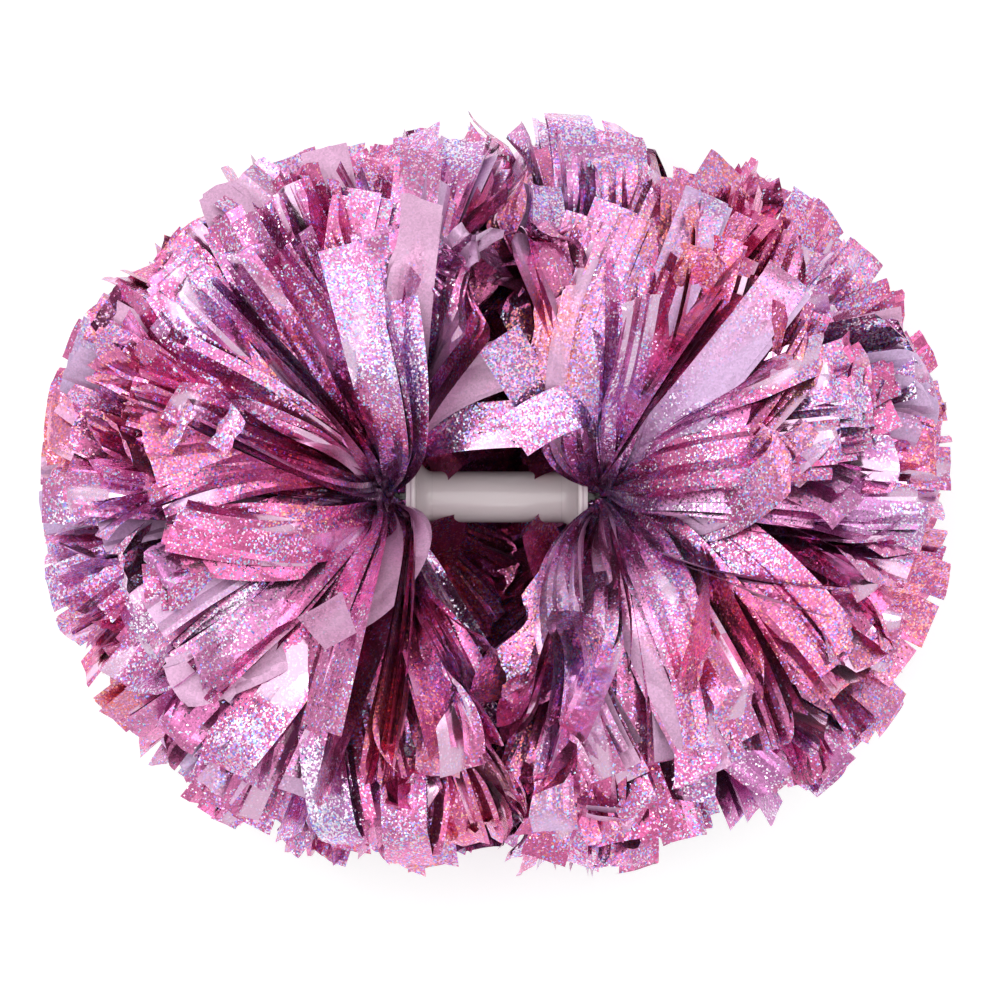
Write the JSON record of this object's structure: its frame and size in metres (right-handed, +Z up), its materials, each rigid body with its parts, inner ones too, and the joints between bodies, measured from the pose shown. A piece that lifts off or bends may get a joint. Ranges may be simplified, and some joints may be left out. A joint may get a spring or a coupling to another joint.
{
  "type": "cheer pom pom",
  "caption": "Cheer pom pom: tufts of slit holographic pink film bound to the ends of a short flanged hand grip, lying on its back.",
  "frame": {"origin": "on the table under the middle of the grip, at the bottom centre of the bounding box", "axes": "+X along the grip, +Z up out of the hand mouth, +Y across the grip; the pom pom lies on its back"},
  "size_m": [0.382, 0.323, 0.2147],
  "materials": {
    "grip_plastic": "gloss",
    "tie_nylon": "satin",
    "cord": "matte",
    "pink_film": "gloss"
  },
  "bodies": {
    "grip": {"grip_tube": "grip_plastic", "left_end_cap": "grip_plastic", "right_end_cap": "grip_plastic", "core_cord": "cord"},
    "left_tuft": {"left_binding_tie": "tie_nylon", "left_film_waist": "pink_film", "left_nose_web": "pink_film", "left_outer_web_1": "pink_film", "left_outer_web_2": "pink_film", "left_outer_web_3": "pink_film", "left_outer_web_4": "pink_film", "left_outer_web_5": "pink_film", "left_outer_web_6": "pink_film", "left_inner_web_1": "pink_film", "left_inner_web_2": "pink_film", "left_inner_web_3": "pink_film", "left_inner_web_4": "pink_film", "left_inner_web_5": "pink_film", "left_inner_web_6": "pink_film", "left_inner_web_7": "pink_film"},
    "right_tuft": {"right_binding_tie": "tie_nylon", "right_film_waist": "pink_film", "right_nose_web": "pink_film", "right_outer_web_1": "pink_film", "right_outer_web_2": "pink_film", "right_outer_web_3": "pink_film", "right_outer_web_4": "pink_film", "right_outer_web_5": "pink_film", "right_outer_web_6": "pink_film", "right_inner_web_1": "pink_film", "right_inner_web_2": "pink_film", "right_inner_web_3": "pink_film", "right_inner_web_4": "pink_film", "right_inner_web_5": "pink_film", "right_inner_web_6": "pink_film", "right_inner_web_7": "pink_film"}
  },
  "joints": [
    {"name": "left_tuft_swivel", "type": "hinge", "parent": "grip", "child": "left_tuft", "pos_m": [0, 0, 0.105], "axis": [1, 0, 0], "range_deg": [-30, 30]},
    {"name": "right_tuft_swivel", "type": "hinge", "parent": "grip", "child": "right_tuft", "pos_m": [0, 0, 0.105], "axis": [1, 0, 0], "range_deg": [-30, 30]}
  ]
}
